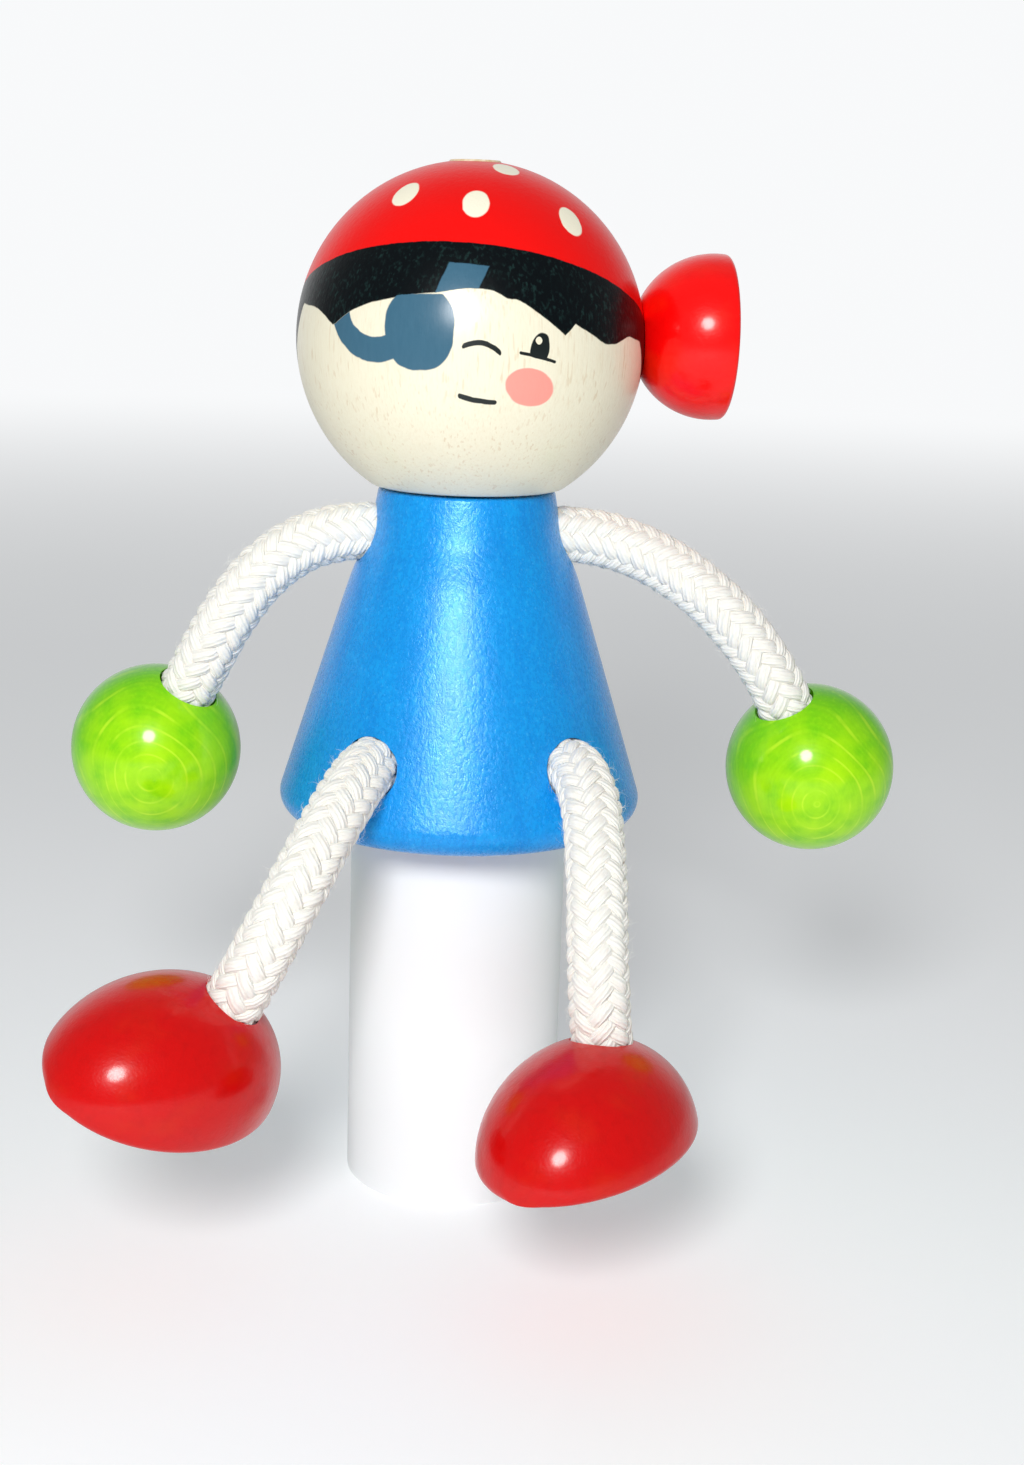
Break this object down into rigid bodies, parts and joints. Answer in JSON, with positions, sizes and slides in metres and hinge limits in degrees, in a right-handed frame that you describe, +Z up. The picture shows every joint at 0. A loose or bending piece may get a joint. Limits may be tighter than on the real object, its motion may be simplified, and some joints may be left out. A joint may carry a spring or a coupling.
{
  "type": "rope-limbed wooden figure",
  "caption": "Turned wooden pirate figure that sits on an edge: cone body, ball head with painted scarf and side knot, and springy rope arms and legs with bead hands and half-egg feet.",
  "frame": {"origin": "centre of the torso's flat base, on the face that the figure sits on", "axes": "+Z up through the head, -Y the way the face looks, +X towards the figure's left hand and the scarf's knot"},
  "size_m": [0.0978, 0.0731, 0.1037],
  "materials": {
    "beech": "clear satin lacquer over pale beech, with painted scarf, hair, eye patch and face",
    "dowel_wood": "bare beech dowel",
    "blue_paint": "satin pearl blue paint on turned wood",
    "red_paint": "gloss red paint on turned wood",
    "green_stain": "glossy translucent lime green stain",
    "rope": "matte off-white braided cotton"
  },
  "bodies": {
    "torso": {"torso": "blue_paint", "neck_dowel": "dowel_wood", "head_ball": "beech", "knot_dowel": "dowel_wood", "scarf_knot": "red_paint", "right_arm_rope_root": "rope", "left_arm_rope_root": "rope", "right_leg_rope_root": "rope", "left_leg_rope_root": "rope"},
    "right_upper_arm": {"right_arm_rope_upper": "rope"},
    "right_forearm": {"right_arm_rope_middle": "rope"},
    "right_hand": {"right_arm_rope_lower": "rope", "right_hand": "green_stain"},
    "left_upper_arm": {"left_arm_rope_upper": "rope"},
    "left_forearm": {"left_arm_rope_middle": "rope"},
    "left_hand": {"left_arm_rope_lower": "rope", "left_hand": "green_stain"},
    "right_thigh": {"right_leg_rope_upper": "rope"},
    "right_shin": {"right_leg_rope_middle": "rope"},
    "right_foot": {"right_leg_rope_lower": "rope", "right_foot": "red_paint"},
    "left_thigh": {"left_leg_rope_upper": "rope"},
    "left_shin": {"left_leg_rope_middle": "rope"},
    "left_foot": {"left_leg_rope_lower": "rope", "left_foot": "red_paint"}
  },
  "joints": [
    {"name": "right_shoulder_raise", "type": "hinge", "parent": "torso", "child": "right_upper_arm", "pos_m": [-0.01492, -0.00014, 0.03352], "axis": [-0.0793, 0.9969, 0], "range_deg": [-5, 60], "stiffness_Nm_per_rad": 0.006, "springref_deg": 4.89},
    {"name": "right_shoulder_swing", "type": "hinge", "parent": "right_upper_arm", "child": "right_forearm", "pos_m": [-0.02178, -0.00122, 0.03068], "axis": [-0.5912, 0, 0.8065], "range_deg": [-35, 20], "stiffness_Nm_per_rad": 0.006, "springref_deg": -0.38},
    {"name": "right_elbow_bend", "type": "hinge", "parent": "right_forearm", "child": "right_hand", "pos_m": [-0.02733, -0.0023, 0.02442], "axis": [0, 0.9989, -0.0474], "range_deg": [-5, 45], "stiffness_Nm_per_rad": 0.006, "springref_deg": 2.02},
    {"name": "left_shoulder_raise", "type": "hinge", "parent": "torso", "child": "left_upper_arm", "pos_m": [0.01548, -0.0003, 0.03347], "axis": [-0.1418, -0.9899, 0], "range_deg": [-5, 60], "stiffness_Nm_per_rad": 0.006, "springref_deg": 6.19},
    {"name": "left_shoulder_swing", "type": "hinge", "parent": "left_upper_arm", "child": "left_forearm", "pos_m": [0.02348, -0.00244, 0.03074], "axis": [-0.4733, 0, -0.8809], "range_deg": [-35, 30], "stiffness_Nm_per_rad": 0.006, "springref_deg": 0.28},
    {"name": "left_elbow_bend", "type": "hinge", "parent": "left_forearm", "child": "left_hand", "pos_m": [0.03084, -0.00559, 0.0251], "axis": [0, -0.9231, 0.3846], "range_deg": [-15, 45], "stiffness_Nm_per_rad": 0.006, "springref_deg": 2.26},
    {"name": "right_hip_raise", "type": "hinge", "parent": "torso", "child": "right_thigh", "pos_m": [-0.01303, -0.01928, 0.00844], "axis": [-0.9064, 0.4225, 0], "range_deg": [-10, 40], "stiffness_Nm_per_rad": 0.006, "springref_deg": 4.22},
    {"name": "right_hip_spread", "type": "hinge", "parent": "right_thigh", "child": "right_shin", "pos_m": [-0.01645, -0.02532, 0.00417], "axis": [0, 0.7215, -0.6925], "range_deg": [-12, 20], "stiffness_Nm_per_rad": 0.006, "springref_deg": 2.36},
    {"name": "right_knee_bend", "type": "hinge", "parent": "right_shin", "child": "right_foot", "pos_m": [-0.02058, -0.02978, -0.00266], "axis": [-0.8713, 0, 0.4907], "range_deg": [-25, 35], "stiffness_Nm_per_rad": 0.006, "springref_deg": 0.42},
    {"name": "left_hip_raise", "type": "hinge", "parent": "torso", "child": "left_thigh", "pos_m": [0.0125, -0.01953, 0.00836], "axis": [-0.9878, -0.1558, 0], "range_deg": [-15, 40], "stiffness_Nm_per_rad": 0.006, "springref_deg": 3.9},
    {"name": "left_hip_spread", "type": "hinge", "parent": "left_thigh", "child": "left_shin", "pos_m": [0.01292, -0.02628, 0.00346], "axis": [0, -0.7264, 0.6873], "range_deg": [-12, 30], "stiffness_Nm_per_rad": 0.006, "springref_deg": -0.26},
    {"name": "left_knee_bend", "type": "hinge", "parent": "left_shin", "child": "left_foot", "pos_m": [0.01278, -0.03153, -0.00432], "axis": [-1, 0, 0.0059], "range_deg": [-35, 35], "stiffness_Nm_per_rad": 0.006, "springref_deg": 1.36}
  ]
}
